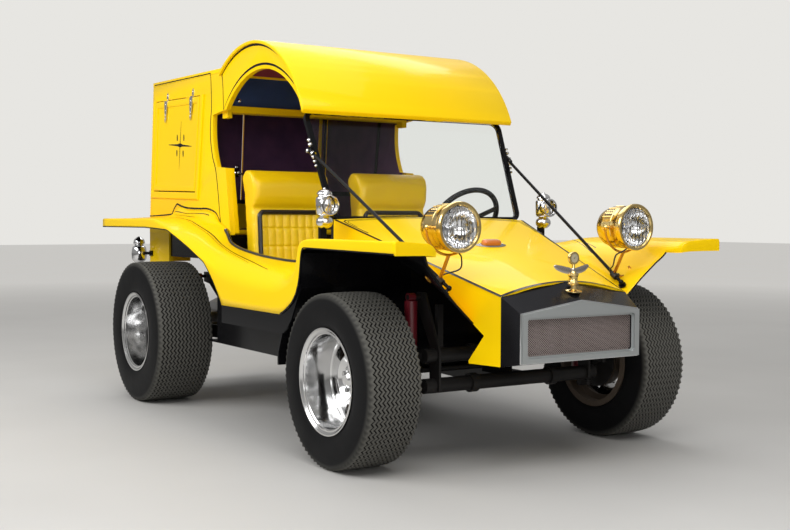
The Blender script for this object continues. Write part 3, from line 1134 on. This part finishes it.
for side_name, side in SIDES:
    striped(f"cab_pinstripes_{side_name}", [
        # under the roof's edge, thick at its crown
        on_arc(ROOF_ARC, -19.5, 700, 1506, side, lambda t: 0.003 + 0.009 * sin(pi * t)**0.8),
        # round the arch, tapering towards its front
        on_arc(OPENING_ARC, 22, 688, 1486, side, lambda t: 0.0025 + 0.009 * sin(pi * min(1, t * 1.05))**0.7),
        on_side([(1506, 1716), (1494, 1650), (1487, 1536)], side, 0.0065),
        # along the box's top, down its front edge, round the opening behind the seats and down the post
        on_side([(2462, 1752), (2000, 1742.5), (1652, 1735)], side, 0.0065),
        on_side([(1652, 1736), (1644, 1680), (1640, 1560), (1652, 1480), (1654, 1400), (1628, 1305), (1586, 1228),
                 (1556, 1104), (1538, 1006), (1524, 962)], side, lambda t: 0.006 + 0.0025 * sin(pi * t)),
        # thick line over the rear fender
        on_side([(2550, 998), (2400, 1001), (2215, 1007), (2186, 1020), (2164, 1040), (2126, 1062), (2104, 1061),
                 (2050, 1050), (1954, 1040), (1800, 1036), (1690, 1034), (1597, 1016), (1560, 993), (1531, 964)],
                side, lambda t: 0.006 + 0.0035 * sin(pi * t), 571.0),
    ])
    # its echo and a short dash on the fender
    shell = surface_of(fenders[side_name])
    striped(f"fender_echo_{side_name}", [
        brushed(shell, 1130, ((2140, 582), (2100, 590), (1936, 594), (1760, 590), (1640, 586)), side, 0.005),
        brushed(shell, 1130, ((2060, 612), (1900, 620), (1800, 622), (1752, 618)), side,
                lambda t: 0.002 + 0.006 * t * (1.05 - t**6)),
    ])

# Glossy trim along the cockpit's edge
# A black rubber moulding is pushed over the body's edge beside the seats.
# Two chromed studs hold the navy panel behind the occupants' heads.
trim_rubber = finish_of("cockpit_trim", (0.008, 0.008, 0.009), 0.10, 0.2, coat=0.4, depth=0.02)
for side_name, side in SIDES:
    rim = [(s, *body_section(s)[0]) for s in [*range(505, 1400, 24), 1398]]
    run = [at(s, z + 4, side * (x + 2)) for s, x, z in rim] + [at(1402, rim[-1][2] + 12, side * 597)]
    joined(f"cockpit_trim_{side_name}", "black_plastic", (trim_rubber, [rod(run, 0.010, 10)]))
joined("head_panel_studs", "chrome", (chrome, [
    turned([(0, 11), (-2, 11), (-5, 8.5), (-7, 4), (-7.6, 0.01)], at(1519.6, 1588, x), FORWARD, 20)
    for x in (-468, 468)]))

# Delivery box
# Yellow panels lined with dark purple cloth; each side hatch hangs from two chromed strap hinges.
# The hatches have a bevelled frame and a hand-painted star.
softened("cargo_box", 0.0025, [yellow_gelcoat, purple_cloth, black_carpet], lambda centre, normal:
         1 if normal.z < -0.9 and centre.z > 1.6 else 2 if normal.z > 0.9 and centre.z < 1.0 else 0)
HATCH = ((1852, 1128), (1779, 1629), (2425, 1649), (2468, 1146))
HATCH_FACE = 573.5
STAR_FACE = 574.7
STAR = Vector((2066, 1386))
BOLT_HEAD = [(0, 4.2), (2, 4), (3.4, 2.4), (3.8, 0.01)]
PIN = [(-22, 0.01), (-21, 5), (-8, 5.2), (-7, 4.6), (7, 4.6), (8, 5.2), (21, 5), (22, 0.01)]
STRAP = ((4, 19), (15, 21), (36, 18), (60, 15.5), (80, 11), (94, 6.5), (100, 9.5), (108, 10), (116, 5.5), (127, 1))
star_arms = ((-8.6, 134, 12), (86, 172, 20), (172.8, 138, 12), (265, 168, 20))


def hatch_inset(amount):
    """The hatch's corners moved inward by an amount in millimetres; outward where it is negative."""
    corners = []
    for k in range(4):
        before, corner, after = (Vector(HATCH[(k + j) % 4]) for j in (-1, 0, 1))
        one, two = (before - corner).normalized(), (after - corner).normalized()
        corners.append(corner + (one + two) * amount / abs(one.cross(two)))
    return corners


def upon(side, reach, outline):
    """Points of (station, height) put on a side at a reach from the centre line."""
    return [at(p[0], p[1], side * reach) for p in outline]


def frame_ring(steps, side):
    """A closed moulding from rings of (inset, height off the hatch)."""
    return stacked([upon(side, HATCH_FACE + high, hatch_inset(inset)) for inset, high in (*steps, steps[0])], False)


for side_name, side in SIDES:
    hatch_body = f"hatch_{side_name}"
    softened(f"side_hatch_{side_name}", 0.002, [yellow_gelcoat, purple_cloth],
             lambda centre, normal: normal.x * side < -0.9 and abs(centre.x) < 0.565, hatch_body)
    bevelled = frame_ring(((1, 0), (1, 4.5), (4, 6.5), (18, 6.5), (27, 5.5), (33, 0)), side)
    joined(f"hatch_frame_{side_name}", "yellow_gelcoat", (yellow_gelcoat, [bevelled]), body=hatch_body, angle=20)
    # moulding round the hatch on the box's side, open over the hinges
    outer, inner = hatch_inset(-44), hatch_inset(-6)
    for k in (1, 2):
        outer[k].y = inner[k].y
    bars = []
    for a, b in ((0, 1), (2, 3), (3, 0)):
        loop = [outer[a], outer[b], inner[b], inner[a]]
        tight = [p + (q - p).normalized() * 7 for p, q in zip(loop, loop[::-1])]
        bars.append(stacked([upon(side, 569.5, loop), upon(side, 577, loop), upon(side, 581, tight)]))
    joined(f"hatch_surround_{side_name}", "yellow_gelcoat", (yellow_gelcoat, bars), angle=20)
    joined(f"hatch_stop_{side_name}", "black_plastic",
           (satin_black, [frame_ring(((-14, -29), (-14, -32), (12, -32), (12, -29)), side)]))
    # strap hinges: leaf on the box, knuckle, and a tapered strap down the hatch
    top_a, top_b = Vector(HATCH[1]), Vector(HATCH[2])
    down = (Vector(HATCH[0]) + Vector(HATCH[3]) - top_a - top_b).normalized()
    along = (top_b - top_a).normalized()
    straps, leaves = [], []
    for share in (0.165, 0.735):
        pin = top_a.lerp(top_b, share) + Vector((0, 4))
        straps.append(turned(PIN, at(*pin, side * 576.5), at(*top_b) - at(*top_a), 16))
        strap = [pin + down * t + along * w for t, w in STRAP] + [pin + down * t - along * w for t, w in STRAP[::-1]]
        straps.append(stacked([upon(side, 579.8, strap), upon(side, 583.4, strap)]))
        for t in (24, 56, 84, 104):
            straps.append(turned(BOLT_HEAD, at(*(pin + down * t), side * 583), (side, 0, 0), 12))
        leaf = [pin - down * t + along * w for t, w in ((8, 13), (34, 9), (46, 0), (34, -9), (8, -13))]
        leaves.append(stacked([upon(side, 570, leaf), upon(side, 573.4, leaf)]))
        leaves.append(turned(BOLT_HEAD, at(*(pin - down * 26), side * 573), (side, 0, 0), 12))
    joined(f"hatch_straps_{side_name}", "chrome", (chrome, straps), body=hatch_body)
    joined(f"hatch_leaves_{side_name}", "chrome", (chrome, leaves))
    # star: two crossed needles with four small tears between them
    star = []
    for degrees, length, width in star_arms:
        way = Vector((sin(radians(degrees)), cos(radians(degrees))))
        aside = Vector((way.y, -way.x))
        needle = [STAR + way * length * t + aside * width * w * q / 2 for t, w in (
            (0, 0.9), (0.06, 1.0), (0.2, 0.6), (0.45, 0.42), (0.75, 0.28), (1, 0.1)) for q in (1, -1)]
        star.append((upon(side, STAR_FACE, needle), [(2 * i, 2 * i + 1, 2 * i + 3, 2 * i + 2) for i in range(5)]))
    for across, up in ((40, 39), (-56, 34), (47, -37), (-44, -44)):
        tip = 0.25 if up > 0 else -0.25
        tear = [STAR + Vector((across + 7.5 * cos(a), up + 19 * sin(a) * (1 + tip * sin(a))))
                for a in (2 * pi * i / 14 for i in range(14))]
        star.append((upon(side, STAR_FACE, tear), [tuple(range(14))]))
    striped(f"hatch_star_{side_name}", star, hatch_body)

# Rear doors
# Two leaves with raised borders; a chromed lever lock sits inside and a T handle outside.
# A black seal lies under their lower edge.
for side_name, side in SIDES:
    softened(f"box_door_{side_name}", 0.002, [yellow_gelcoat, purple_cloth],
             lambda centre, normal: normal.y < -0.9, f"door_{side_name}")
DOOR_LEAN = 0.0865
DOOR_OUT = Vector((0, 1, DOOR_LEAN))


def door_point(x, height, inward=0.0):
    """A point on the doors' outer face at a height, moved inward by an amount."""
    return at(2558 - (height - 900) * DOOR_LEAN - inward, height, x)


rose = [(0, 25), (-3, 24.5), (-6, 20), (-9, 12), (-16, 11), (-18, 14), (-22, 15), (-26, 12), (-28, 0.01)]
joined("door_lock_inside", "chrome", (chrome, [
    turned(rose, door_point(-34, 1262, 20.5), DOOR_OUT, 24),
    rod([door_point(-34, 1262, 42), door_point(-20, 1259, 44), door_point(-7, 1256, 44)], [0.0065, 0.0055, 0.0075]),
    turned([(0, 15), (-2, 14), (-4, 9), (-4.4, 0.01)], door_point(-34, 1296, 20.5), DOOR_OUT, 18)]), body="door_right")
joined("door_handle", "chrome", (chrome, [
    turned([(0, 24), (3, 23.5), (6, 16), (8, 9), (24, 8), (26, 0.01)], door_point(-76, 1262, -5), DOOR_OUT, 24),
    rod([door_point(-76, 1318, -29), door_point(-76, 1262, -27), door_point(-76, 1206, -29)], [0.006, 0.008, 0.006])]),
       body="door_right")
seal = [[door_point(x, z, inward) for x, z in ((-515, 1076), (515, 1076), (515, 1100), (-515, 1100))]
        for inward in (22, 25)]
joined("door_sill_seal", "black_plastic", (satin_black, [stacked(seal)]))
